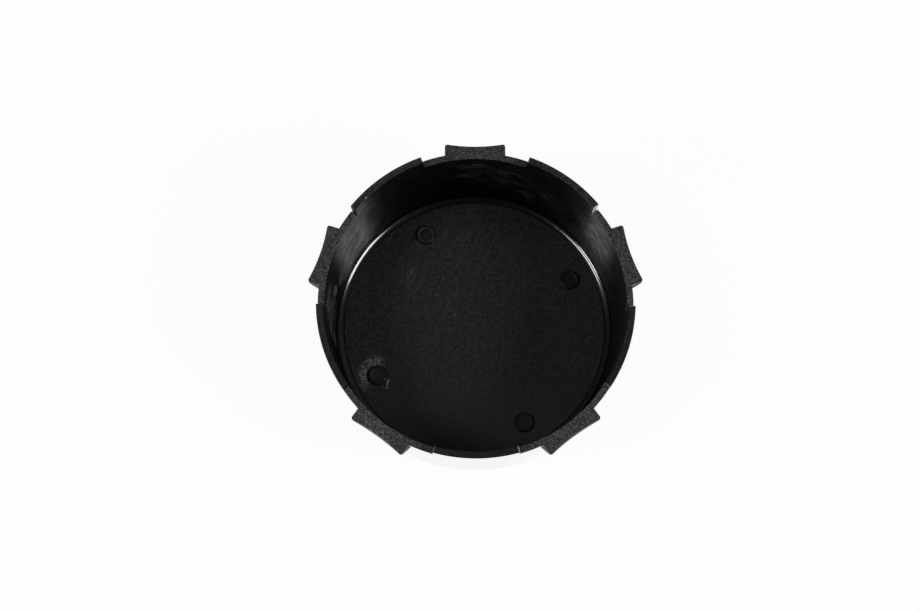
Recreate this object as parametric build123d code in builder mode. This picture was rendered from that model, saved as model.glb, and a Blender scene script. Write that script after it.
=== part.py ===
import math
import os

from build123d import *

os.makedirs("parts", exist_ok=True)

# Overall sizes in millimetres, origin at the centre of the outer face, +Z towards the open side
height = 25.6
rim_radius = 30.0
wall = 1.3
draft = 2.8
face_thickness = 2.0
face_edge_chamfer = 0.8

# Narrow ring a step below the floor, with a round from it up to the wall
ring_drop = 0.2
ring_land = 0.4
ring_slope = 0.1
foot_round = 0.8

# Five low clip segments between five full height segments, with a narrow slot at each end
clip_count = 5
clip_first_angle = 18.0
clip_half_angle = 20.2
clip_drop = 2.5
slot_width = 0.22
slot_depth = 1.0

# Barbed lug on each clip segment, its outer end a hollow arc
lug_width = 11.7
lug_reach = 1.25
lug_hollow_radius = 33.0
lug_corner_round = 0.45
lug_land = 0.9
lug_under_angle = 58.0
lug_edge_chamfer = 0.2

# Four round ejector pads, set in from the edge of the floor
pad_count = 4
pad_first_angle = 27.0
pad_inset = 2.53
pad_radius = 1.9
pad_height = 0.5
pad_edge_chamfer = 0.15

# How far a cut runs on past the body
cut_over = 5.0

# Levels and radii that follow from the sizes above
lean = math.tan(math.radians(draft))
face_radius = rim_radius - lean * height
floor_level = face_thickness
ring_level = floor_level - ring_drop
foot_radius = rim_radius - wall - lean * (height - ring_level)
ring_radius = foot_radius - foot_round - ring_land
floor_radius = ring_radius - ring_slope
clip_level = height - clip_drop
clip_radius = rim_radius - lean * clip_drop
slot_level = clip_level - slot_depth
wedge_reach = rim_radius + cut_over
wedge_half = wedge_reach * math.tan(math.radians(clip_half_angle))
pad_circle_radius = floor_radius - pad_inset - pad_radius

# Lug sizes that follow, its root half way into the wall
lug_root = clip_radius - wall / 2
lug_middle = clip_radius + lug_reach
lug_half = lug_width / 2
lug_sag = lug_hollow_radius - math.sqrt(lug_hollow_radius**2 - lug_half**2)
lug_corner = lug_middle + lug_sag
lug_tip_radius = math.hypot(lug_corner, lug_half)
lug_land_level = clip_level - lug_land
lug_fall = (lug_tip_radius - lug_root) * math.tan(math.radians(lug_under_angle))
lug_low_level = lug_land_level - lug_fall

# Plan of one lug, pointing along +X
with BuildSketch() as lug_plan:
    with BuildLine() as lug_outline:
        ThreePointArc((lug_corner, -lug_half), (lug_middle, 0), (lug_corner, lug_half))
        Polyline((lug_corner, lug_half), (lug_root, lug_half), (lug_root, -lug_half), (lug_corner, -lug_half))
    make_face()
    tips = lug_plan.vertices().sort_by(Axis.X)[-2:]
    fillet(tips, radius=lug_corner_round)

# Ring of lugs, each with a flat top, a short upright end and an underside that falls back to the skirt
with BuildPart() as lug_ring:
    with BuildSketch(Plane.XY.offset(clip_level)) as lug_plans:
        with PolarLocations(0, clip_count, start_angle=clip_first_angle):
            add(lug_plan.sketch)
    extrude(amount=lug_low_level - clip_level)
    with BuildSketch(Plane.XZ) as under_profile:
        with BuildLine() as under_line:
            Polyline(
                (lug_tip_radius, lug_land_level),
                (lug_root, lug_low_level),
                (lug_root, lug_low_level - cut_over),
                (lug_tip_radius + cut_over, lug_low_level - cut_over),
                (lug_tip_radius + cut_over, lug_land_level),
                close=True,
            )
        make_face()
    revolve(axis=Axis.Z, mode=Mode.SUBTRACT)
    lug_tops = lug_ring.faces().filter_by(Axis.Z).group_by(Axis.Z)[-1]
    root_reach = math.hypot(lug_root, lug_half)
    free_edges = lug_tops.edges().filter_by(lambda e: math.hypot(e.center().X, e.center().Y) > root_reach)
    chamfer(free_edges, length=lug_edge_chamfer)

# Ejector pads, each with a bevelled edge
with BuildPart() as pad_set:
    with BuildSketch(Plane.XY.offset(floor_level)) as pad_plans:
        with PolarLocations(pad_circle_radius, pad_count, start_angle=pad_first_angle):
            Circle(pad_radius)
    extrude(amount=pad_height)
    pad_tops = pad_set.faces().filter_by(Axis.Z).group_by(Axis.Z)[-1]
    chamfer(pad_tops.edges(), length=pad_edge_chamfer)

with BuildPart() as cap_body:
    # Cup with a drafted skirt, a bevelled outer face edge and a sunk ring round the floor
    with BuildSketch(Plane.XZ) as cup_profile:
        with BuildLine() as cup_line:
            Polyline(
                (0, 0),
                (face_radius, 0),
                (rim_radius, height),
                (rim_radius - wall, height),
                (foot_radius, ring_level),
                (ring_radius, ring_level),
                (floor_radius, floor_level),
                (0, floor_level),
                close=True,
            )
        make_face()
        chamfer(cup_profile.vertices().sort_by_distance((face_radius, 0))[0], length=face_edge_chamfer)
        fillet(cup_profile.vertices().sort_by_distance((foot_radius, ring_level))[0], radius=foot_round)
    revolve(axis=Axis.Z)

    # The rim is lowered over the clip segments
    with BuildSketch(Plane.XY.offset(clip_level)) as clip_gaps:
        with PolarLocations(0, clip_count, start_angle=clip_first_angle):
            Polygon((0, 0), (wedge_reach, -wedge_half), (wedge_reach, wedge_half), align=None)
    extrude(amount=clip_drop + cut_over, mode=Mode.SUBTRACT)

    # A narrow slot at each end of every clip segment
    with BuildSketch(Plane.XY.offset(slot_level)) as slots:
        for slot_side in (clip_half_angle, -clip_half_angle):
            with PolarLocations(rim_radius, clip_count, start_angle=clip_first_angle + slot_side):
                Rectangle(2 * (wall + cut_over), slot_width)
    extrude(amount=clip_drop + slot_depth + cut_over, mode=Mode.SUBTRACT)

    # Lugs and pads are moulded on
    add(lug_ring.part)
    add(pad_set.part)

cap_body.part.label = "cap_body"
export_step(cap_body.part, "parts/cap_body.step")
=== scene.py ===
import math

import bmesh
import bpy
from mathutils import Matrix, Vector
from mathutils.geometry import delaunay_2d_cdt


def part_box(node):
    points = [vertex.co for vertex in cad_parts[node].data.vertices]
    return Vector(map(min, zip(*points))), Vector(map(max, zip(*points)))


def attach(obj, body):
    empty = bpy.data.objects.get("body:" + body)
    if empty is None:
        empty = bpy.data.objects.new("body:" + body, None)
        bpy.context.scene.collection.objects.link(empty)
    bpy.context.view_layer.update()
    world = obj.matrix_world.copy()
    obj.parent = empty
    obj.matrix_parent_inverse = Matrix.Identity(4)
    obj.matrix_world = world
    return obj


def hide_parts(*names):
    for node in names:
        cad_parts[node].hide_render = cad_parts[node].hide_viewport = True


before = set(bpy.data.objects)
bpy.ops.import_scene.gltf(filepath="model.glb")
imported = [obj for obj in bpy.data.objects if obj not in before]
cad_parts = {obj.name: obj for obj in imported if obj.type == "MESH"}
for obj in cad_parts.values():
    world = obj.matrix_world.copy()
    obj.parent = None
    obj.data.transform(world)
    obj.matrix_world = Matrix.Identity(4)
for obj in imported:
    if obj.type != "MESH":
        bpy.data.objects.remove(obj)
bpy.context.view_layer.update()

MM = 0.001
TURN = 2 * math.pi
NODE = "cap_body"
low_corner, high_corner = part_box(NODE)

# Sizes of the cap in metres, origin at the centre of the outer face, +Z towards the open side
HEIGHT = high_corner[2] - low_corner[2]
RIM_RADIUS = 30.0 * MM
WALL = 1.3 * MM
DRAFT = math.radians(2.8)
FLOOR_LEVEL = 2.0 * MM
FACE_EDGE_BEVEL = 0.8 * MM
FACE_EDGE_ROUND = 0.3 * MM
EDGE_ROUND = 0.1 * MM

# Narrow ring a step below the floor, with a shallow cove from it up to the wall
RING_DROP = 0.2 * MM
RING_WIDTH = 1.2 * MM
RING_SLOPE = 0.1 * MM
RING_EDGE_ROUND = 0.05 * MM
COVE_RADIUS = 1.6 * MM
COVE_TURN = math.radians(47.0)

# Five low clip segments, one of them narrower, between five full height segments, with a slot at each end
CLIP_COUNT = 5
CLIP_FIRST_ANGLE = math.radians(18.0)
CLIP_HALF_ANGLES = [math.radians(angle) for angle in (20.2, 20.2, 19.4, 20.2, 20.2)]
CLIP_DROP = 2.5 * MM
SLOT_WIDTH = 0.22 * MM
SLOT_DEPTH = 1.0 * MM

# Barbed lug on each clip segment, its outer end a hollow arc
LUG_WIDTH = 11.7 * MM
LUG_REACH = 1.25 * MM
LUG_HOLLOW_RADIUS = 33.0 * MM
LUG_CORNER_ROUND = 0.45 * MM
LUG_LAND = 0.9 * MM
LUG_UNDER_ANGLE = math.radians(58.0)

# Four round ejector pads on the floor, each with a low lip round its top and a fine moat round its foot
PAD_COUNT = 4
PAD_FIRST_ANGLE = math.radians(27.0)
PAD_CIRCLE_RADIUS = 21.81 * MM
PAD_RADIUS = 1.9 * MM
PAD_HEIGHT = 0.5 * MM
PAD_EDGE_BEVEL = 0.15 * MM
PAD_EDGE_ROUND = 0.05 * MM
PAD_LIP_WIDTH = 0.4 * MM
PAD_DISH = 0.05 * MM
PAD_MOAT_WIDTH = 0.1 * MM
PAD_MOAT_DEPTH = 0.15 * MM

# Mesh columns over each part of the skirt, and steps along its rounds
PLAIN_STEPS = 32
CLIP_STEPS = 8
CLIP_INSIDE_STEPS = 40
HOLLOW_STEPS = 20
CORNER_STEPS = 4
COVE_STEPS = 10
ROUND_STEPS = 6
PAD_STEPS = 64
BEVEL_STEPS = 3
BEVEL_ANGLE = math.radians(25.0)

# The floor's triangles are those inside its outlines, and points nearer than this count as one
INSIDE_ONLY = 1
MERGE_DISTANCE = 1e-9

# Slopes and levels that follow from the sizes above
LEAN = math.tan(DRAFT)
LUG_HALF = LUG_WIDTH / 2
LUG_UNDER_SLOPE = math.tan(LUG_UNDER_ANGLE)
RING_LEVEL = FLOOR_LEVEL - RING_DROP
PAD_LEVEL = FLOOR_LEVEL + PAD_HEIGHT
CLIP_LEVEL = HEIGHT - CLIP_DROP
SLOT_LEVEL = CLIP_LEVEL - SLOT_DEPTH
CREST = {"plain": HEIGHT, "clip": CLIP_LEVEL, "slot": SLOT_LEVEL}


def outer_radius(z):
    """Radius of the skirt's outside at a level."""
    return RIM_RADIUS - LEAN * (HEIGHT - z)


def inner_radius(z):
    """Radius of the skirt's inside at a level."""
    return outer_radius(z) - WALL


# Outline and underside of a lug
LUG_MIDDLE = outer_radius(CLIP_LEVEL) + LUG_REACH
LUG_SAG = LUG_HOLLOW_RADIUS - math.sqrt(LUG_HOLLOW_RADIUS**2 - LUG_HALF**2)
LUG_TIP_RADIUS = math.hypot(LUG_MIDDLE + LUG_SAG, LUG_HALF)


def lug_under_level(radius):
    """Level of a lug's underside, which falls back from its tip to the skirt."""
    return CLIP_LEVEL - LUG_LAND - (LUG_TIP_RADIUS - radius) * LUG_UNDER_SLOPE


# Level at which the underside meets the drafted skirt
LUG_BOTTOM = lug_under_level(outer_radius(0)) / (1 - LUG_UNDER_SLOPE * LEAN)


def pad_centre(number):
    """Centre of an ejector pad in plan."""
    angle = PAD_FIRST_ANGLE + number * TURN / PAD_COUNT
    return (PAD_CIRCLE_RADIUS * math.cos(angle), PAD_CIRCLE_RADIUS * math.sin(angle))


def arc_points(centre, radius, start, end, steps):
    """Points along an arc, both ends included, with angles in radians."""
    angles = [start + (end - start) * i / steps for i in range(steps + 1)]
    return [(centre[0] + radius * math.cos(a), centre[1] + radius * math.sin(a)) for a in angles]


def rounded(before, corner, after, radius):
    """Points of the arc that rounds a corner of a profile."""
    corner = Vector(corner)
    a = (Vector(before) - corner).normalized()
    b = (Vector(after) - corner).normalized()
    half = a.angle(b) / 2
    centre = corner + (a + b).normalized() * radius / math.sin(half)
    first = corner + a * radius / math.tan(half) - centre
    last = corner + b * radius / math.tan(half) - centre
    start = math.atan2(first.y, first.x)
    sweep = math.remainder(math.atan2(last.y, last.x) - start, TURN)
    return arc_points(centre, radius, start, start + sweep, ROUND_STEPS)


def lug_outline():
    """Outer end of a lug in plan, pointing along +X, from its right side to its left."""
    hollow_centre = LUG_MIDDLE + LUG_HOLLOW_RADIUS
    side = LUG_HALF - LUG_CORNER_ROUND
    reach = math.sqrt((LUG_HOLLOW_RADIUS + LUG_CORNER_ROUND) ** 2 - side**2)
    tangent = math.atan2(side, reach)
    corner_centre = (hollow_centre - reach, -side)
    corner = arc_points(corner_centre, LUG_CORNER_ROUND, -math.pi / 2, tangent, CORNER_STEPS)
    hollow = arc_points(
        (hollow_centre, 0), LUG_HOLLOW_RADIUS, math.pi + tangent, math.pi - tangent, HOLLOW_STEPS
    )
    other_corner = [(x, -y) for x, y in reversed(corner)]
    return corner[:-1] + hollow + other_corner[1:]


def outer_profile():
    """Radii and levels up the outside of the skirt, from the outer face to the rim."""
    middle = (0, 0)
    rim = (RIM_RADIUS, HEIGHT)
    face_edge = (outer_radius(0) - FACE_EDGE_BEVEL, 0)
    skirt_edge = (outer_radius(FACE_EDGE_BEVEL), FACE_EDGE_BEVEL)
    edge = rounded(middle, face_edge, skirt_edge, FACE_EDGE_ROUND)
    edge += rounded(face_edge, skirt_edge, rim, FACE_EDGE_ROUND)
    return edge + [(outer_radius(z), z) for z in (LUG_BOTTOM, SLOT_LEVEL, CLIP_LEVEL, HEIGHT)]


def inner_profile():
    """Radii and levels from the floor's edge over the ring and up the inside of the skirt."""
    ring_edge = (inner_radius(RING_LEVEL) - RING_WIDTH, RING_LEVEL)
    floor_edge = (ring_edge[0] - RING_SLOPE, FLOOR_LEVEL)
    cove_top = RING_LEVEL + COVE_RADIUS * (1 - math.cos(COVE_TURN))
    cove_foot = inner_radius(cove_top) - COVE_RADIUS * math.sin(COVE_TURN)
    cove_centre = (cove_foot, RING_LEVEL + COVE_RADIUS)
    points = rounded((0, FLOOR_LEVEL), floor_edge, ring_edge, RING_EDGE_ROUND)
    points += rounded(floor_edge, ring_edge, (cove_foot, RING_LEVEL), RING_EDGE_ROUND)
    points += arc_points(cove_centre, COVE_RADIUS, -math.pi / 2, COVE_TURN - math.pi / 2, COVE_STEPS)
    points.append((inner_radius(cove_top + RING_EDGE_ROUND), cove_top + RING_EDGE_ROUND))
    return points + [(inner_radius(z), z) for z in (SLOT_LEVEL, CLIP_LEVEL, HEIGHT)]


def pad_profile():
    """Radii and levels of a pad, from the brink of its moat over its bevel and lip to its dished face."""
    brink = (PAD_RADIUS + PAD_MOAT_WIDTH, FLOOR_LEVEL)
    moat = (PAD_RADIUS, FLOOR_LEVEL - PAD_MOAT_DEPTH)
    shoulder = (PAD_RADIUS, PAD_LEVEL - PAD_EDGE_BEVEL)
    crown = (PAD_RADIUS - PAD_EDGE_BEVEL, PAD_LEVEL)
    lip = (crown[0] - PAD_LIP_WIDTH, PAD_LEVEL)
    dish = (lip[0] - PAD_DISH, PAD_LEVEL - PAD_DISH)
    points = rounded((2 * PAD_RADIUS, FLOOR_LEVEL), brink, moat, PAD_EDGE_ROUND) + [moat]
    points += rounded(moat, shoulder, crown, PAD_EDGE_ROUND)
    points += rounded(shoulder, crown, lip, PAD_EDGE_ROUND)
    points += rounded(crown, lip, dish, PAD_EDGE_ROUND)
    return points + [(lip[0] - 2 * PAD_DISH, PAD_LEVEL - PAD_DISH)]


def even_angles(start, span, steps):
    """Columns at even angles inside a span, without its ends, each with no sideways offset."""
    return [(start + span * i / steps, 0) for i in range(1, steps)]


def skirt_stretches():
    """Stretches round the skirt: kind, then the mesh columns of its outside and inside.

    A column is an angle and a sideways offset. A stretch ends where the next one starts.
    """
    stretches = []
    lug_angle = math.asin(LUG_HALF / outer_radius(CLIP_LEVEL))
    slot_half = SLOT_WIDTH / 2
    for k, half in enumerate(CLIP_HALF_ANGLES):
        centre = CLIP_FIRST_ANGLE + k * TURN / CLIP_COUNT
        first_slot = centre - half
        second_slot = centre + half
        clip_span = half - lug_angle
        plain_span = TURN / CLIP_COUNT - half - CLIP_HALF_ANGLES[(k + 1) % CLIP_COUNT]
        slot_start = [(first_slot, -slot_half)]
        clip_start = [(first_slot, slot_half)]
        clip_end = [(second_slot, -slot_half)]
        before_lug = even_angles(first_slot, clip_span, CLIP_STEPS)
        lug = [(centre, y) for x, y in lug_outline()]
        after_lug = even_angles(centre + lug_angle, clip_span, CLIP_STEPS)
        inside = even_angles(first_slot, 2 * half, CLIP_INSIDE_STEPS)
        plain = [(second_slot, slot_half)] + even_angles(second_slot, plain_span, PLAIN_STEPS)
        stretches.append(("slot", slot_start, slot_start))
        stretches.append(("clip", clip_start + before_lug + lug + after_lug, clip_start + inside))
        stretches.append(("slot", clip_end, clip_end))
        stretches.append(("plain", plain, plain))
    return stretches


# Finishes of the moulding, in the order of the material slots
(
    FLOOR_FINISH,
    PAD_FINISH,
    FOOT_FINISH,
    WALL_FINISH,
    RIM_FINISH,
    LUG_FINISH,
    CHEEK_FINISH,
    OUTSIDE_FINISH,
) = range(8)
CREST_FINISH = {"plain": RIM_FINISH, "clip": LUG_FINISH, "slot": CHEEK_FINISH}


class ShellMesh:
    """The whole moulding as one closed mesh, stretch by stretch round the skirt."""

    def __init__(self):
        self.bm = bmesh.new()
        self.profiles = {"outer": outer_profile(), "inner": inner_profile()}
        self.outline = lug_outline()
        self.points = {}
        self.kinds = []
        self.columns = {"outer": [], "inner": []}
        self.starts = {"outer": [0], "inner": [0]}
        for kind, outer, inner in skirt_stretches():
            self.kinds.append(kind)
            for side, columns in (("outer", outer), ("inner", inner)):
                self.columns[side] += columns
                self.starts[side].append(len(self.columns[side]))

    def vertex(self, side, column, step):
        """The point of a profile on a column, made when it is first asked for."""
        column %= len(self.columns[side])
        key = (side, column, step)
        if key not in self.points:
            radius, z = self.profiles[side][step]
            angle, offset = self.columns[side][column]
            angle += math.asin(offset / radius)
            self.points[key] = self.bm.verts.new((radius * math.cos(angle), radius * math.sin(angle), z))
        return self.points[key]

    def lug_vertices(self, stretch):
        """Points of a lug's outline, on its top and on its underside."""
        if ("lug", stretch) not in self.points:
            angle = self.columns["outer"][self.lug_columns(stretch)[0]][0]
            turn = Matrix.Rotation(angle, 3, "Z")
            top = [Vector((x, y, CLIP_LEVEL)) for x, y in self.outline]
            under = [Vector((x, y, lug_under_level(math.hypot(x, y)))) for x, y in self.outline]
            self.points["lug", stretch] = [
                [self.bm.verts.new(turn @ point) for point in points] for points in (top, under)
            ]
        return self.points["lug", stretch]

    def lug_columns(self, stretch):
        """Columns of the skirt's outside that a lug stands on."""
        first = self.starts["outer"][stretch] + CLIP_STEPS
        return range(first, first + len(self.outline))

    def run(self, side, stretch):
        """Columns of a stretch, with the first one of the next."""
        return range(self.starts[side][stretch], self.starts[side][stretch + 1] + 1)

    def face(self, vertices, finish):
        """A smooth shaded face with a finish."""
        made = self.bm.faces.new(vertices)
        made.material_index = finish
        made.smooth = True

    def step_at(self, side, level):
        """Index of the profile point on a level of the upper skirt."""
        gaps = [abs(z - level) for _, z in self.profiles[side]]
        return gaps.index(min(gaps))

    def walls(self):
        """Inside and outside of the skirt, up to the crest of each stretch or to the foot of its lug."""
        for stretch, kind in enumerate(self.kinds):
            lug = self.lug_columns(stretch)[:-1] if kind == "clip" else []
            for side in ("outer", "inner"):
                for column in self.run(side, stretch)[:-1]:
                    under_lug = side == "outer" and column in lug
                    top = self.step_at(side, LUG_BOTTOM if under_lug else CREST[kind])
                    for step in range(top):
                        low = [self.vertex(side, column + i, step) for i in (0, 1)]
                        high = [self.vertex(side, column + i, step + 1) for i in (1, 0)]
                        self.face(low + high, self.wall_finish(side, step))

    def wall_finish(self, side, step):
        """Finish of a step of the profile: the ring is like the floor, and the cove is polished."""
        if side == "outer":
            return OUTSIDE_FINISH
        # The cove ends two points before the level of the slots
        top_of_cove = self.step_at("inner", SLOT_LEVEL) - 2
        if step >= top_of_cove:
            return WALL_FINISH
        return FOOT_FINISH if step >= top_of_cove - COVE_STEPS else FLOOR_FINISH

    def crests(self):
        """Flat crest of each stretch, with the plan of its lug."""
        for stretch, kind in enumerate(self.kinds):
            outer_step = self.step_at("outer", CREST[kind])
            inner_step = self.step_at("inner", CREST[kind])
            columns = self.run("outer", stretch)
            if kind == "clip":
                lug = self.lug_columns(stretch)
                before = [self.vertex("outer", c, outer_step) for c in columns if c <= lug[0]]
                after = [self.vertex("outer", c, outer_step) for c in columns if c >= lug[-1]]
                edge = before + self.lug_vertices(stretch)[0] + after
            else:
                edge = [self.vertex("outer", c, outer_step) for c in columns]
            inner = [self.vertex("inner", c, inner_step) for c in reversed(self.run("inner", stretch))]
            self.face(edge + inner, CREST_FINISH[kind])

    def slot_cheeks(self):
        """Upright ends of the segments, on both sides of each slot."""
        for stretch, kind in enumerate(self.kinds):
            low, high = sorted((CREST[self.kinds[stretch - 1]], CREST[kind]))
            cheek = []
            for side in ("outer", "inner"):
                steps = range(self.step_at(side, low), self.step_at(side, high) + 1)
                line = [self.vertex(side, self.starts[side][stretch], step) for step in steps]
                cheek += line if side == "outer" else reversed(line)
            self.face(cheek, CHEEK_FINISH)

    def lugs(self):
        """Hollow end, underside and straight sides of each lug."""
        root = self.step_at("outer", LUG_BOTTOM)
        side_steps = range(root, self.step_at("outer", CLIP_LEVEL) + 1)
        for stretch, kind in enumerate(self.kinds):
            if kind != "clip":
                continue
            columns = self.lug_columns(stretch)
            top, under = self.lug_vertices(stretch)
            wall = [self.vertex("outer", column, root) for column in columns]
            for a in range(len(top) - 1):
                self.face([under[a], under[a + 1], top[a + 1], top[a]], LUG_FINISH)
                self.face([wall[a], wall[a + 1], under[a + 1], under[a]], LUG_FINISH)
            for end in (0, -1):
                side = [self.vertex("outer", columns[end], step) for step in side_steps]
                self.face(side + [top[end], under[end]], LUG_FINISH)

    def pads(self):
        """Ejector pads, each a turned form on the floor; gives the rings round their moats."""
        brinks = []
        for number in range(PAD_COUNT):
            rings = []
            for radius, z in pad_profile():
                around = arc_points(pad_centre(number), radius, 0, TURN, PAD_STEPS)[:-1]
                rings.append([self.bm.verts.new((x, y, z)) for x, y in around])
            for lower, upper in zip(rings, rings[1:]):
                for a in range(PAD_STEPS):
                    self.face([lower[a - 1], lower[a], upper[a], upper[a - 1]], PAD_FINISH)
            self.face(rings[-1], PAD_FINISH)
            brinks.append(rings[0])
        return brinks

    def floor_and_face(self):
        """Flat floor with a hole for each pad, and the flat outer face."""
        rim = [self.vertex("inner", column, 0) for column in range(len(self.columns["inner"]))]
        vertices = []
        edges = []
        loop_of = []
        for number, loop in enumerate([rim] + self.pads()):
            first = len(vertices)
            vertices += loop
            loop_of += [number] * len(loop)
            edges += [(first + i, first + (i + 1) % len(loop)) for i in range(len(loop))]
        plan = [vertex.co.xy for vertex in vertices]
        _, _, triangles, origins, _, _ = delaunay_2d_cdt(plan, edges, [], INSIDE_ONLY, MERGE_DISTANCE)
        for triangle in triangles:
            corners = [origins[corner][0] for corner in triangle]
            around = {loop_of[corner] for corner in corners}
            under_pad = len(around) == 1 and 0 not in around
            if not under_pad:
                self.face([vertices[corner] for corner in corners], FLOOR_FINISH)
        self.face([self.vertex("outer", c, 0) for c in range(len(self.columns["outer"]))], OUTSIDE_FINISH)

    def soften_edges(self):
        """Small round on every sharp edge of the crests and lugs; the slots keep crisp edges."""
        bmesh.ops.recalc_face_normals(self.bm, faces=self.bm.faces[:])
        sharp = []
        for edge in self.bm.edges:
            lowest = min(vertex.co.z for vertex in edge.verts)
            if CHEEK_FINISH in [face.material_index for face in edge.link_faces]:
                edge.smooth = False
            elif lowest > LUG_BOTTOM - EDGE_ROUND and edge.calc_face_angle(0) > BEVEL_ANGLE:
                sharp.append(edge)
        bmesh.ops.bevel(
            self.bm,
            geom=sharp,
            offset=EDGE_ROUND,
            offset_type="OFFSET",
            segments=BEVEL_STEPS,
            profile=0.5,
            affect="EDGES",
            clamp_overlap=False,
            material=-1,
        )

    def build(self):
        """The finished mesh."""
        self.walls()
        self.crests()
        self.slot_cheeks()
        self.lugs()
        self.floor_and_face()
        self.soften_edges()
        mesh = bpy.data.meshes.new("cap_shell")
        self.bm.to_mesh(mesh)
        self.bm.free()
        return mesh


class Finish:
    """A material, with short calls for the nodes that shape it; places are in millimetres.

    Its plain roughness and coat hold where no node feeds them.
    """

    # Sockets of a mix node that hold colours
    FIRST_COLOUR = 6
    SECOND_COLOUR = 7
    MIXED_COLOUR = 2

    def __init__(self, name, roughness, coat=0):
        self.material = bpy.data.materials.new(name)
        self.material.use_nodes = True
        self.nodes = self.material.node_tree.nodes
        self.shader = self.nodes["Principled BSDF"]
        self.give(Roughness=roughness, Coat_Weight=coat)
        metres = self.node("TexCoord", {}, "Object")
        self.place = self.node("VectorMath", {0: metres, "Scale": 1 / MM}, operation="SCALE")

    def put(self, socket, value):
        """Link a node's output to a socket, or set a plain value on it."""
        if isinstance(value, bpy.types.NodeSocket):
            self.material.node_tree.links.new(value, socket)
        else:
            socket.default_value = value

    def node(self, kind, inputs, output=0, **settings):
        """A new node with its settings and inputs; gives one of its outputs."""
        made = self.nodes.new("ShaderNode" + kind)
        for name, setting in settings.items():
            setattr(made, name, setting)
        for name, value in inputs.items():
            self.put(made.inputs[name], value)
        return made.outputs[output]

    def give(self, **inputs):
        """Feed the shader's sockets, named with _ for a space."""
        for name, value in inputs.items():
            self.put(self.shader.inputs[name.replace("_", " ")], value)

    def plus(self, first, second):
        """Sum of two values."""
        return self.node("Math", {0: first, 1: second}, operation="ADD")

    def most(self, first, second):
        """The larger of two values."""
        return self.node("Math", {0: first, 1: second}, operation="MAXIMUM")

    def times(self, product, *factors):
        """Product of two or more values."""
        for factor in factors:
            product = self.node("Math", {0: product, 1: factor}, operation="MULTIPLY")
        return product

    def along(self, axis):
        """Distance from the origin along X, Y or Z."""
        return self.node("SeparateXYZ", {0: self.place}, axis)

    def ramp(self, value, low, high, start=0.0, end=1.0):
        """A value eased from start to end between low and high."""
        inputs = {"Value": value, "From Min": low, "From Max": high, "To Min": start, "To Max": end}
        return self.node("MapRange", inputs, interpolation_type="SMOOTHSTEP")

    def between(self, value, rise, fall, strength=1.0):
        """A strength that eases in over one pair of limits and out again over another."""
        return self.times(self.ramp(value, *rise), self.ramp(value, *fall, strength, 0.0))

    def noise(self, scale, detail, squeeze=None, place=None):
        """Noise over the part or over given places, squeezed along the axes by factors."""
        place = place or self.place
        if squeeze:
            place = self.node("VectorMath", {0: place, 1: squeeze}, operation="MULTIPLY")
        return self.node("TexNoise", {"Vector": place, "Scale": scale, "Detail": detail}, "Fac")

    def mix(self, share, first, second):
        """A colour between two, by a share."""
        inputs = {"Factor": share, self.FIRST_COLOUR: first, self.SECOND_COLOUR: second}
        return self.node("Mix", inputs, self.MIXED_COLOUR, data_type="RGBA")

    def patch(self, centre, angle, reach):
        """Places measured from a centre, on the floor if it has no level, as shares of a turned reach."""
        inputs = {
            "Vector": self.place,
            "Location": centre if len(centre) == 3 else (*centre, FLOOR_LEVEL / MM),
            "Rotation": (0, 0, math.radians(angle)),
            "Scale": reach,
        }
        return self.node("Mapping", inputs, vector_type="TEXTURE")

    def distance(self, local):
        """Distance from a patch's centre, 1 at its edge."""
        return self.node("VectorMath", {0: local}, "Value", operation="LENGTH")

    def inside(self, local, core):
        """1 within a patch's core, falling to 0 at its edge."""
        return self.ramp(self.distance(local), core, 1.0, 1.0, 0.0)

    def lean(self, rise):
        """Fine ridges round the skirt, too small to see, that face up or down by a slope."""
        facing = self.node("NewGeometry", {}, "Normal")
        slope = self.node("CombineXYZ", {"Z": rise})
        leaning = self.node("VectorMath", {0: facing, 1: slope}, operation="ADD")
        facing = self.node("VectorMath", {0: leaning}, operation="NORMALIZE")
        self.give(Normal=facing, Coat_Normal=facing)

    def bump(self, height, depth):
        """Fine relief of a depth in millimetres."""
        inputs = {"Height": height, "Distance": depth * MM, "Strength": 1.0}
        self.give(Normal=self.node("Bump", inputs))


def grey(value):
    """A neutral tone."""
    return (value, value, value, 1.0)


def on_circle(angle, reach, level):
    """A place from its degrees round the axis, its distance from it and its level."""
    turn = math.radians(angle)
    return (reach * math.cos(turn), reach * math.sin(turn), level)


# Floor: tones of the black, of the painted light on its near side, and of what lies on it
FLOOR_TONE = (0.0078, 0.0056, 0.0067, 1)
FLOOR_MOTTLE_TONE = (0.0062, 0.0044, 0.0053, 1)
FLOOR_NEAR_PAINTED_LIGHT_TONE = (0.0175, 0.0134, 0.0154, 1)
FLOOR_GRAIN_TONE = (0.0212, 0.0160, 0.0186, 1)
SCRATCH_TONE = (0.070, 0.066, 0.068, 1)
SMEAR_TONE = (0.017, 0.017, 0.025, 1)
CRUST_TONE = (0.18, 0.17, 0.165, 1)

# Patches of scratches on the floor: centre, turn in degrees, length, width, waves of the lines across it,
# lowest noise that is a line, strength
FLOOR_SCRATCHES = (
    ((-13.4, 10.6), 70, 8.0, 3.6, 6.0, 0.52, 0.9),
    ((-13.2, 9.6), 48, 5.0, 2.6, 4.0, 0.54, 0.8),
    ((-13.0, 11.2), 104, 5.0, 2.6, 4.0, 0.56, 0.6),
    ((-6.6, 10.0), 72, 4.0, 1.6, 2.5, 0.55, 0.6),
    ((-7.6, 7.0), 10, 1.6, 0.7, 1.0, 0.4, 0.6),
    ((-2.4, 17.6), 68, 9.0, 3.0, 4.0, 0.55, 0.5),
    ((-6.0, 19.4), 60, 3.5, 2.0, 3.0, 0.55, 0.6),
    ((-4.0, 12.0), 64, 26.0, 20.0, 30.0, 0.59, 0.5),
    ((-6.0, 9.0), 35, 22.0, 18.0, 26.0, 0.62, 0.45),
    ((10.5, 6.0), 120, 7.0, 3.0, 5.0, 0.55, 0.4),
    ((12.0, 8.0), 112, 20.0, 16.0, 26.0, 0.61, 0.4),
)
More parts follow.
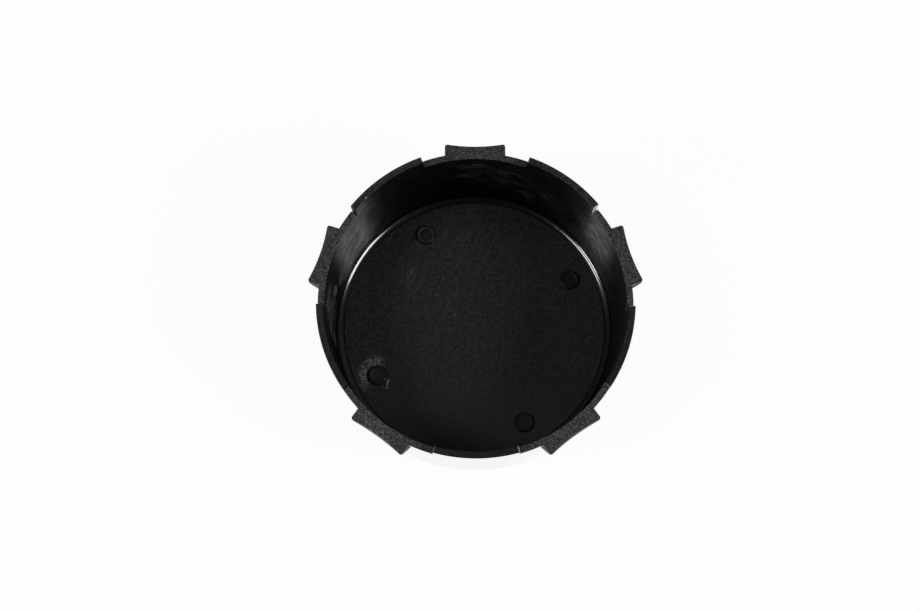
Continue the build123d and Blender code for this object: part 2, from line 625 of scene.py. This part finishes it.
SCRATCH_WAVES_ALONG = 0.6
SCRATCH_EASE = 0.1

# One fleck and two faint bluish smears on the floor
FLECK_PLACE = (-3.83, 2.54)
FLECK_TURN = 125
FLECK_REACH = (0.8, 0.35, 1.0)
FLECK_STRENGTH = 0.6
SMEAR_PLACES = ((9.3, -2.7), (-16.6, -2.7))
SMEAR_REACH = (2.6, 3.2, 1.0)
SMEAR_STRENGTH = 0.5

# Crust round the lower left pad, thickest towards one side, with its inner and outer limits, how much
# rougher it is than the floor, and its height in grains
CRUST_PLACE = (-19.36, -9.92)
CRUST_REACH = (4.2, 4.2, 2.0)
CRUST_SIDE = (-0.85, 0.5, 0)
CRUST_START = (0.48, 0.54)
CRUST_END = (0.75, 1.1)
CRUST_ROUGHNESS = 0.3
CRUST_RELIEF = 2.0

# Loose flakes of the crust: place from its centre, half length, half width, strength
CRUST_FLAKES = ((1.95, -1.3, 1.0, 0.42, 1.0), (1.75, -2.3, 0.5, 0.4, 0.7))
FLAKE_TURN = 76


def satin_floor():
    """Floor: warm satin black with faint mottle, handling marks, smears and a crust beside one pad."""
    finish = Finish("satin_floor", roughness=0.45)
    grain = finish.noise(scale=1.6, detail=4.0)
    colour = finish.mix(floor_marks(finish), floor_black(finish, grain), SCRATCH_TONE)
    for centre in SMEAR_PLACES:
        smear = finish.inside(finish.patch(centre, 0, SMEAR_REACH), core=0.2)
        smear = finish.times(smear, finish.ramp(grain, 0.35, 0.65), SMEAR_STRENGTH)
        colour = finish.mix(smear, colour, SMEAR_TONE)
    crust = crust_share(finish)
    finish.give(Base_Color=finish.mix(crust, colour, CRUST_TONE))
    rough = finish.ramp(grain, 0.2, 0.8, 0.4, 0.5)
    finish.give(Roughness=finish.plus(rough, finish.times(crust, CRUST_ROUGHNESS)))
    finish.bump(finish.plus(grain, finish.times(crust, CRUST_RELIEF)), depth=0.012)
    return finish


def floor_black(finish, grain):
    """Black of the floor, paler in its grain, with painted light towards the near side, where the near
    wall shades it.
    """
    mottle = finish.ramp(finish.noise(scale=0.09, detail=4.0), 0.3, 0.7)
    colour = finish.mix(mottle, FLOOR_TONE, FLOOR_MOTTLE_TONE)
    # Painted light: the floor is paler towards the near side, where the near wall shades it.
    colour = finish.mix(finish.ramp(finish.along("Y"), -8.0, -22.0), colour, FLOOR_NEAR_PAINTED_LIGHT_TONE)
    return finish.mix(finish.ramp(grain, 0.38, 0.62), colour, FLOOR_GRAIN_TONE)


def floor_marks(finish):
    """Share of handling marks: specks all over, scratches in patches and one fleck."""
    marks = finish.ramp(finish.noise(scale=2.2, detail=1.0), 0.70, 0.76, 0.0, 0.4)
    for *patch, strength in FLOOR_SCRATCHES:
        marks = finish.most(marks, finish.times(scratches(finish, *patch), strength))
    fleck = finish.inside(finish.patch(FLECK_PLACE, FLECK_TURN, FLECK_REACH), core=0.2)
    return finish.most(marks, finish.times(fleck, FLECK_STRENGTH))


def scratches(finish, centre, angle, length, width, waves, low):
    """Share of thin parallel scratches in an oval patch."""
    local = finish.patch(centre, angle, (length / 2, width / 2, 1.0))
    lines = finish.noise(scale=1.0, detail=3.0, squeeze=(SCRATCH_WAVES_ALONG, waves, 0), place=local)
    return finish.times(finish.ramp(lines, low, low + SCRATCH_EASE), finish.inside(local, core=0.5))


def crust_share(finish):
    """Share of crust: speckles in a ring round a pad, most of them on one side, and a few flakes."""
    local = finish.patch(CRUST_PLACE, 0, CRUST_REACH)
    ring = finish.between(finish.distance(local), CRUST_START, CRUST_END)
    side = finish.node("VectorMath", {0: local, 1: CRUST_SIDE}, "Value", operation="DOT_PRODUCT")
    speckle = finish.ramp(finish.noise(scale=3.2, detail=4.0), 0.38, 0.66)
    arc = finish.times(ring, finish.ramp(side, -0.1, 0.45), speckle)
    flakes = 0.0
    for x, y, length, width, strength in CRUST_FLAKES:
        place = (CRUST_PLACE[0] + x, CRUST_PLACE[1] + y)
        flake = finish.inside(finish.patch(place, FLAKE_TURN, (length, width, 1.0)), core=0.3)
        flakes = finish.most(flakes, finish.times(flake, strength))
    return finish.most(arc, finish.times(flakes, finish.ramp(speckle, 0.0, 0.6, 0.6, 1.0)))


# Ejector pads: tones of the black and of the painted shade in the moat, then of each pad's face, and of
# its lip, which carries a painted highlight on one pad and painted shade on the others
PAD_TONE = (0.0018, 0.0013, 0.0016, 1)
PAD_MOTTLE_TONE = (0.0130, 0.0098, 0.0114, 1)
MOAT_PAINTED_SHADE_TONE = grey(0.003)
# Face tone and painted lip tone of each pad: a painted highlight on the lip of the second pad, at the
# upper left, and painted shade on the other lips
FACE_TONES_AND_LIP_PAINTED_LIGHT = (
    (grey(0.002), grey(0.001)),
    (grey(0.011), grey(0.036)),
    (grey(0.026), grey(0.012)),
    (grey(0.016), grey(0.004)),
)

# Where a pad's face ends, its lip starts and ends, and its moat ends, as shares of its radius
FACE_END = (0.62, 0.7)
LIP_START = (0.64, 0.7)
LIP_END = (0.9, 0.94)
MOAT_END = (1.2, 1.3)


def pin_marks():
    """Ends of the ejector pins: dark and mottled, each face of its own tone; each lip carries a painted
    highlight on one pad and painted shade on the others, and each moat painted shade.
    """
    finish = Finish("pin_marks", roughness=0.4)
    finish.give(Specular_IOR_Level=0.4)
    grain = finish.noise(scale=1.2, detail=4.0)
    colour = finish.mix(finish.ramp(grain, 0.4, 0.62), PAD_TONE, PAD_MOTTLE_TONE)
    reach = (PAD_RADIUS / MM, PAD_RADIUS / MM, 4.0)
    for number, (face_tone, lip_painted_light) in enumerate(FACE_TONES_AND_LIP_PAINTED_LIGHT):
        x, y = pad_centre(number)
        distance = finish.distance(finish.patch((x / MM, y / MM, PAD_LEVEL / MM), 0, reach))
        face = finish.ramp(distance, *FACE_END, 0.5, 0.0)
        # Painted light on the lip: a highlight on the upper left pad, shade on the others
        lip = finish.between(distance, LIP_START, LIP_END, 0.8)
        lip = finish.times(lip, finish.ramp(grain, 0.38, 0.6, 0.3, 1.0))
        # Painted shade in the moat round the pad's foot
        moat = finish.between(distance, LIP_END, MOAT_END)
        colour = finish.mix(face, colour, face_tone)
        colour = finish.mix(lip, colour, lip_painted_light)
        colour = finish.mix(moat, colour, MOAT_PAINTED_SHADE_TONE)
    finish.give(Base_Color=colour, Roughness=finish.ramp(grain, 0.3, 0.7, 0.34, 0.46))
    return finish


# Cove at the foot of the wall: tones of the black, and painted light in its near left, where the left wall
# shades it
FOOT_TONES = (grey(0.001), grey(0.002))
FOOT_PAINTED_LIGHT_TONE = (0.0165, 0.0145, 0.0155, 1)
FOOT_PAINTED_LIGHT_PLACE = (-24.4, -8.6, 2.2)
FOOT_PAINTED_LIGHT_TURN = 199
FOOT_PAINTED_LIGHT_REACH = (4.0, 15.0, 3.0)


def polished_foot():
    """Cove at the foot of the wall: polished, most of all at the back, so lamps show as bright lines."""
    finish = Finish("polished_foot", roughness=0.25, coat=1.0)
    wear = finish.noise(scale=1.0, detail=3.0, squeeze=(0.3, 0.3, 1.0))
    # Painted light: the near left of the cove is paler, where the left wall shades it.
    near_left_painted_light = finish.inside(finish.patch(FOOT_PAINTED_LIGHT_PLACE, FOOT_PAINTED_LIGHT_TURN, FOOT_PAINTED_LIGHT_REACH), core=0.3)
    finish.give(Base_Color=finish.mix(near_left_painted_light, finish.mix(wear, *FOOT_TONES), FOOT_PAINTED_LIGHT_TONE))
    finish.give(Roughness=finish.ramp(wear, 0.3, 0.7, 0.2, 0.26), Specular_IOR_Level=0.2)

    # The coat is full at the back left and the back right, and thin between them and on the near side
    side = finish.along("X")
    ends = finish.most(finish.ramp(side, -14.0, -6.0, 1.0, 0.35), finish.ramp(side, 11.0, 18.0, 0.35, 1.0))
    back = finish.ramp(finish.along("Y"), 1.0, 8.0, 0.25, 1.0)
    finish.give(Coat_Weight=finish.times(ends, back), Coat_Roughness=0.13, Coat_IOR=1.8)
    return finish


# Inside of the skirt: tones of the black, of the painted light on its right end, and of the rubbed marks
WALL_TONES = (grey(0.0008), grey(0.0016))
WALL_RIGHT_PAINTED_LIGHT_TONE = grey(0.004)
RUB_TONE = grey(0.13)
RUB_DEPTH = 2.0

# Rubbed marks on the left and at the back of the wall: degrees, level, half width, half height, strength
WALL_RUBS = (
    (178.0, 14.0, 7.0, 11.0, 0.3),
    (178.0, 17.0, 2.0, 2.6, 1.0),
    (172.5, 17.4, 1.6, 2.2, 0.7),
    (169.0, 11.2, 1.5, 2.6, 0.9),
    (176.0, 12.5, 2.4, 2.0, 0.5),
    (184.0, 14.0, 4.0, 3.0, 0.5),
    (187.0, 9.0, 3.0, 3.0, 0.4),
    (163.0, 9.0, 1.6, 3.0, 0.3),
    (80.0, 14.0, 18.0, 10.0, 0.06),
    (92.5, 14.5, 4.0, 1.6, 0.2),
    (90.0, 19.5, 5.0, 2.6, 0.14),
    (77.0, 13.0, 5.0, 3.0, 0.16),
    (76.0, 17.5, 4.0, 2.4, 0.16),
    (68.0, 9.5, 3.0, 3.0, 0.16),
    (58.0, 13.0, 5.0, 6.0, 0.08),
)


def drawn_wall():
    """Inside of the skirt: smooth, drawn round by the mould, so lamps show as upright bands."""
    finish = Finish("drawn_wall", roughness=0.42)
    finish.give(Anisotropic=1.0, Anisotropic_Rotation=0.25, Specular_IOR_Level=0.25)
    finish.give(Tangent=finish.node("Tangent", {}, direction_type="RADIAL", axis="Z"))
    side, depth, level = [finish.along(axis) for axis in "XYZ"]
    streak = finish.noise(scale=1.0, detail=4.0, squeeze=(0.33, 0.33, 0.7))

    # The ridges are uneven, and they flatten towards the foot, at the back and a little to the right
    uneven = finish.ramp(streak, 0.3, 0.7, 0.7, 1.25)
    above_foot = finish.ramp(level, 3.4, finish.ramp(side, 0.0, 20.0, 5.6, 15.0), 0.3, 1.0)
    before_back = finish.ramp(depth, 16.0, 24.0, 1.0, 0.3)
    finish.lean(finish.times(uneven, above_foot, before_back, finish.ramp(side, 0.0, 20.0, 1.0, 0.83)))

    # The lowest part is smoother than the rest
    cloud = finish.noise(scale=0.35, detail=3.0, squeeze=(1.0, 1.0, 0.4))
    smooth_foot = finish.ramp(level, 3.4, 4.2, 0.3, 1.0)
    finish.give(Roughness=finish.times(finish.ramp(cloud, 0.3, 0.7, 0.27, 0.38), smooth_foot))
    colour = finish.mix(finish.ramp(streak, 0.35, 0.65), *WALL_TONES)
    # Painted light: the wall is paler at its right end.
    colour = finish.mix(finish.ramp(side, 20.0, 27.0), colour, WALL_RIGHT_PAINTED_LIGHT_TONE)
    finish.give(Base_Color=finish.mix(rubbed_share(finish), colour, RUB_TONE))
    return finish


def rubbed_share(finish):
    """Share of rubbed marks, drawn round the wall."""
    scuff = finish.noise(scale=1.3, detail=3.0, squeeze=(0.25, 0.25, 1.0))
    marks = 0.0
    for angle, level, width, height, strength in WALL_RUBS:
        centre = on_circle(angle, inner_radius(level * MM) / MM, level)
        mark = finish.inside(finish.patch(centre, angle, (RUB_DEPTH, width, height)), core=0.2)
        mark = finish.times(mark, finish.ramp(scuff, 0.38, 0.62, 0.0, strength))
        marks = finish.most(marks, mark)
    return marks


# Crests of the full height segments: tones of the black, and of painted highlights along their ends and
# one pale scuff
RIM_TONES = (grey(0.0008), grey(0.030))
RIM_HIGHLIGHT_AND_SCUFF_TONE = grey(0.35)

# Painted highlights and one scuff: degrees, distance from the axis, half length, half width, strength
# The first four are painted highlights along the crest's ends beside slots, the last a pale scuff near the
# inner edge
RIM_PAINTED_HIGHLIGHTS_AND_SCUFF = (
    (285.45, 29.35, 0.9, 0.14, 0.8),
    (254.55, 29.35, 0.9, 0.14, 0.3),
    (-2.55, 29.35, 0.9, 0.14, 0.3),
    (38.55, 29.35, 0.9, 0.14, 0.5),
    (136.3, 28.85, 0.22, 0.3, 0.6),
)


def dull_rim():
    """Crests of the full height segments: dull and nearly even, with painted shade that makes them darker
    on the near side.
    """
    finish = Finish("dull_rim", roughness=0.5)
    grain = finish.noise(scale=2.4, detail=3.0)
    # Painted shade: the grain's pale tone fades out towards the near side.
    back = finish.ramp(finish.along("Y"), -26.0, 20.0, 0.15, 1.0)
    colour = finish.mix(finish.times(back, finish.ramp(grain, 0.3, 0.7)), *RIM_TONES)
    for angle, reach, length, width, strength in RIM_PAINTED_HIGHLIGHTS_AND_SCUFF:
        centre = on_circle(angle, reach, HEIGHT / MM)
        # Painted highlights along the crest's ends beside slots, and one pale scuff
        highlight_and_scuff = finish.inside(finish.patch(centre, angle, (length, width, 1.0)), core=0.6)
        colour = finish.mix(finish.times(highlight_and_scuff, strength), colour, RIM_HIGHLIGHT_AND_SCUFF_TONE)
    finish.give(Base_Color=colour, Roughness=finish.ramp(grain, 0.3, 0.7, 0.36, 0.44))
    finish.bump(grain, depth=0.02)
    return finish


# Clip segments and lugs: tones of the grain, and pale specks on one worn lug
LUG_TONES = (grey(0.006), grey(0.056))
WORN_LUG_TONE = grey(0.14)
WORN_LUG_PLACE = (-18.6, -24.0, CLIP_LEVEL / MM)
WORN_LUG_TURN = 234
WORN_LUG_REACH = (2.0, 5.5, 3.0)


def grained_lug():
    """Clip segments and lugs: the even grain of a spark eroded mould."""
    finish = Finish("grained_lug", roughness=0.62)
    grain = finish.noise(scale=3.0, detail=3.0)
    colour = finish.mix(finish.ramp(grain, 0.42, 0.62), *LUG_TONES)
    worn = finish.inside(finish.patch(WORN_LUG_PLACE, WORN_LUG_TURN, WORN_LUG_REACH), core=0.3)
    specks = finish.times(worn, finish.ramp(finish.noise(scale=2.0, detail=2.0), 0.58, 0.68))
    finish.give(Base_Color=finish.mix(specks, colour, WORN_LUG_TONE))
    finish.give(Roughness=finish.ramp(grain, 0.3, 0.7, 0.55, 0.7))
    finish.bump(grain, depth=0.04)
    return finish


# Slots: tones of the black and of the painted highlight, then degrees and strength of the slots that carry
# it
CHEEK_TONES = (grey(0.005), grey(0.01))
CHEEK_PAINTED_HIGHLIGHT_TONE = grey(0.8)
PAINTED_HIGHLIGHT_SLOTS = ((38.2, 0.8), (285.8, 0.7), (-2.2, 0.3), (325.8, 0.1))
PAINTED_HIGHLIGHT_REACH = (3.0, 3.0, 5.0)


def cut_cheek():
    """Cheeks and bottoms of the slots: with painted highlights at some slots, most of all on the right."""
    finish = Finish("cut_cheek", roughness=0.5)
    haze = finish.ramp(finish.noise(scale=0.8, detail=2.0), 0.25, 0.5, 0.6, 1.0)
    colour = finish.mix(haze, *CHEEK_TONES)
    for angle, strength in PAINTED_HIGHLIGHT_SLOTS:
        centre = on_circle(angle, (RIM_RADIUS - WALL / 2) / MM, CLIP_LEVEL / MM)
        # Painted highlight where lamps catch the slot's edges
        painted_highlight = finish.inside(finish.patch(centre, angle, PAINTED_HIGHLIGHT_REACH), core=0.8)
        colour = finish.mix(finish.times(painted_highlight, haze, strength), colour, CHEEK_PAINTED_HIGHLIGHT_TONE)
    finish.give(Base_Color=colour)
    return finish


# Outside of the skirt and the outer face: tones of the black and of its wear
OUTSIDE_TONES = (grey(0.004), grey(0.007))
OUTSIDE_WEAR_TONE = grey(0.08)


def smooth_outside():
    """Outside of the skirt and the outer face: polished black, with faint round wipe marks and wear."""
    finish = Finish("smooth_outside", roughness=0.16, coat=1.0)
    wipe = finish.noise(scale=1.0, detail=3.0, squeeze=(0.2, 0.2, 0.8))
    colour = finish.mix(outside_wear(finish), finish.mix(wipe, *OUTSIDE_TONES), OUTSIDE_WEAR_TONE)
    finish.give(Base_Color=colour, Roughness=finish.ramp(wipe, 0.3, 0.7, 0.03, 0.06))
    finish.give(Specular_IOR_Level=0.35, Coat_Roughness=0.03, Coat_IOR=1.45)
    finish.lean(rise=-0.04)
    return finish


def outside_wear(finish):
    """Share of wear: marks dragged up the skirt as it went in and out of a wheel, and a worn face edge."""
    level = finish.along("Z")
    drag = finish.ramp(finish.noise(scale=3.2, detail=2.0, squeeze=(1.0, 1.0, 0.012)), 0.54, 0.70)
    patchy = finish.ramp(finish.noise(scale=0.11, detail=2.0), 0.40, 0.60, 0.0, 0.6)
    drag = finish.times(drag, patchy, finish.ramp(level, 4.0, 14.0))
    worn = finish.ramp(finish.noise(scale=1.4, detail=3.0), 0.45, 0.65)
    return finish.most(drag, finish.times(worn, finish.ramp(level, 0.5, 1.4, 0.5, 0.0)))


def make_shell():
    """The moulding as an object that stands for the CAD body, with its finishes in their slots."""
    shell = bpy.data.objects.new("cap_shell", ShellMesh().build())
    bpy.context.collection.objects.link(shell)
    shell.modifiers.new("flat_faces", "WEIGHTED_NORMAL").keep_sharp = True
    for finish in (
        satin_floor(),
        pin_marks(),
        polished_foot(),
        drawn_wall(),
        dull_rim(),
        grained_lug(),
        cut_cheek(),
        smooth_outside(),
    ):
        shell.data.materials.append(finish.material)
    return shell


# Studio floor and backdrop: sizes in metres, its glow when it is looked at, and its own colour
STAGE_FLAT = 0.9
STAGE_CURVE = 0.15
STAGE_WALL = 0.25
STAGE_STEPS = 96
STAGE_GAP = 0.02 * MM
STAGE_GLOW = 0.94
STAGE_COLOUR = grey(0.8)


def studio_white():
    """Pale surface that a camera or a reflection sees as white, and that still takes shadows."""
    finish = Finish("studio_white", roughness=1.0)
    path = finish.nodes.new("ShaderNodeLightPath").outputs
    seen = finish.plus(path["Is Camera Ray"], path["Is Glossy Ray"])
    seen = finish.plus(seen, path["Is Transmission Ray"])
    share = finish.node("Clamp", {"Value": seen})
    pale = finish.node("BsdfDiffuse", {"Color": STAGE_COLOUR})
    faint = finish.node("BsdfDiffuse", {"Color": grey(1 - STAGE_GLOW)})
    light = finish.node("Emission", {"Strength": STAGE_GLOW})
    shown = finish.node("AddShader", {0: light, 1: faint})
    surface = finish.node("MixShader", {0: share, 1: pale, 2: shown})
    finish.put(finish.nodes["Material Output"].inputs["Surface"], surface)
    finish.nodes.remove(finish.shader)
    return finish.material


def make_stage():
    """Pale round floor that sweeps up into a low backdrop all round."""
    curve = arc_points((STAGE_FLAT, STAGE_CURVE), STAGE_CURVE, -math.pi / 2, 0, 2 * ROUND_STEPS)
    bm = bmesh.new()
    rings = []
    for radius, z in curve + [(STAGE_FLAT + STAGE_CURVE, STAGE_WALL)]:
        around = arc_points((0, 0), radius, 0, TURN, STAGE_STEPS)[:-1]
        rings.append([bm.verts.new((x, y, z + low_corner[2] - STAGE_GAP)) for x, y in around])
    bm.faces.new(rings[0])
    for lower, upper in zip(rings, rings[1:]):
        for a in range(STAGE_STEPS):
            bm.faces.new([lower[a - 1], lower[a], upper[a], upper[a - 1]]).smooth = True
    mesh = bpy.data.meshes.new("studio_floor")
    bm.to_mesh(mesh)
    bm.free()
    mesh.materials.append(studio_white())
    stage = bpy.data.objects.new("studio_floor", mesh)
    bpy.context.collection.objects.link(stage)


# Soft boxes: distance and direction from the cap, width and height in metres, power in watts
LAMP_DISTANCE = 0.7
LAMPS = {
    "lamp_right": ((0.795, -0.262, 0.545), 0.27, 0.45, 3.6),
    "lamp_left": ((-0.871, -0.286, 0.400), 0.19, 0.18, 1.75),
    "lamp_left_high": ((-0.57, -0.14, 0.81), 0.2, 0.22, 1.05),
}


def make_lamp(name, direction, width, height, power):
    """A soft box that looks at the middle of the cap."""
    lamp = bpy.data.lights.new(name, "AREA")
    lamp.shape = "RECTANGLE"
    lamp.size = width
    lamp.size_y = height
    lamp.energy = power
    holder = bpy.data.objects.new(name, lamp)
    bpy.context.collection.objects.link(holder)
    towards = Vector(direction).normalized()
    holder.location = Vector((0, 0, HEIGHT / 2)) + towards * LAMP_DISTANCE
    holder.rotation_euler = towards.to_track_quat("Z", "Y").to_euler()


# Surroundings: strength in front of the cap and behind it, and where along Y one passes into the other
WORLD_FRONT = 0.05
WORLD_BACK = 0.14
WORLD_FRONT_END = -0.2
WORLD_BACK_START = 0.5


def make_world():
    """Dim surroundings above the backdrop, lighter behind the cap than in front of it."""
    world = bpy.data.worlds.new("studio_dark")
    world.use_nodes = True
    nodes = world.node_tree.nodes
    links = world.node_tree.links
    towards = nodes.new("ShaderNodeTexCoord")
    split = nodes.new("ShaderNodeSeparateXYZ")
    blend = nodes.new("ShaderNodeMapRange")
    blend.interpolation_type = "SMOOTHSTEP"
    blend.inputs["From Min"].default_value = WORLD_FRONT_END
    blend.inputs["From Max"].default_value = WORLD_BACK_START
    blend.inputs["To Min"].default_value = WORLD_FRONT
    blend.inputs["To Max"].default_value = WORLD_BACK
    background = nodes["Background"]
    background.inputs["Color"].default_value = grey(1.0)
    links.new(towards.outputs["Generated"], split.inputs[0])
    links.new(split.outputs["Y"], blend.inputs["Value"])
    links.new(blend.outputs["Result"], background.inputs["Strength"])
    bpy.context.scene.world = world


# Camera of the photograph: place in metres, angles in degrees, and the picture's width in pixels
CAMERA_PLACE = Vector((-3.52, -70.31, 308.73)) * MM
CAMERA_HEADING = -0.47
CAMERA_ELEVATION = 76.316
CAMERA_ROLL = 0.426
CAMERA_FOCAL_PIXELS = 1556.4
PICTURE_WIDTH = 920
SENSOR_WIDTH = 36.0


def make_camera():
    """Camera at the photograph's angle."""
    lens = bpy.data.cameras.new("camera")
    lens.sensor_width = SENSOR_WIDTH
    lens.lens = CAMERA_FOCAL_PIXELS * SENSOR_WIDTH / PICTURE_WIDTH
    camera = bpy.data.objects.new("camera", lens)
    bpy.context.collection.objects.link(camera)
    heading = Matrix.Rotation(math.radians(CAMERA_HEADING), 3, "Z")
    tilt = Matrix.Rotation(math.radians(90 - CAMERA_ELEVATION), 3, "X")
    roll = Matrix.Rotation(math.radians(CAMERA_ROLL), 3, "Z")
    camera.location = CAMERA_PLACE
    camera.rotation_euler = (heading @ tilt @ roll).to_euler()
    bpy.context.scene.camera = camera


shell = make_shell()
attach(shell, "root")
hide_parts(NODE)

make_stage()
for name, lamp in LAMPS.items():
    make_lamp(name, *lamp)
make_world()
make_camera()
bpy.context.scene.view_settings.view_transform = "Standard"
